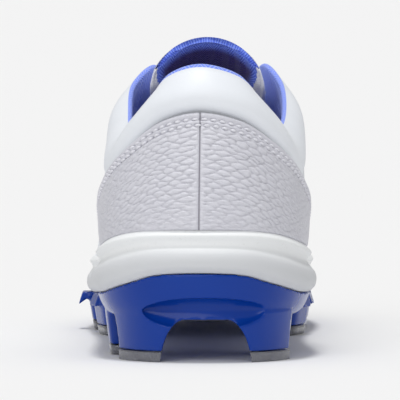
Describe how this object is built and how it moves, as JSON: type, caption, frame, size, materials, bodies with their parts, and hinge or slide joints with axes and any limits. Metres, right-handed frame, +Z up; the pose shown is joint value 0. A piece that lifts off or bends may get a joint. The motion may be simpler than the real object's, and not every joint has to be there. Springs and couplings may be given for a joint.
{
  "type": "softball cleat",
  "caption": "Low-cut left softball cleat: padded collar, leather heel counter, laced throat, foam midsole and a moulded plate with clear-tipped studs, standing on them.",
  "frame": {"origin": "middle of the floor under the shoe", "axes": "+Y towards the toe, +X towards the medial side, +Z up"},
  "size_m": [0.0872, 0.286, 0.108],
  "materials": {
    "upper": "smooth satin",
    "counter": "tumbled, pebbled grain",
    "eyestay": "smooth satin",
    "tongue": "knitted mesh with white edges",
    "insole": "brushed knit",
    "midsole": "moulded foam, satin",
    "plate": "moulded, glossy",
    "stud_tip": "clear, glossy",
    "lace": "flat woven"
  },
  "bodies": {
    "root": {"upper": "upper", "heel_counter": "counter", "eyestay": "eyestay", "tongue": "tongue", "insole": "insole", "midsole": "midsole", "outsole": "plate", "tip_rear_lateral": "stud_tip", "tip_rear_medial": "stud_tip", "tip_heel_lateral": "stud_tip", "tip_heel_medial": "stud_tip", "tip_ball_lateral_1": "stud_tip", "tip_ball_lateral_2": "stud_tip", "tip_ball_lateral_3": "stud_tip", "tip_ball_medial_1": "stud_tip", "tip_ball_medial_2": "stud_tip", "tip_ball_medial_3": "stud_tip", "tip_toe": "stud_tip", "lace_1": "lace", "lace_2": "lace", "lace_3": "lace", "lace_4": "lace", "lace_5": "lace"}
  },
  "joints": []
}
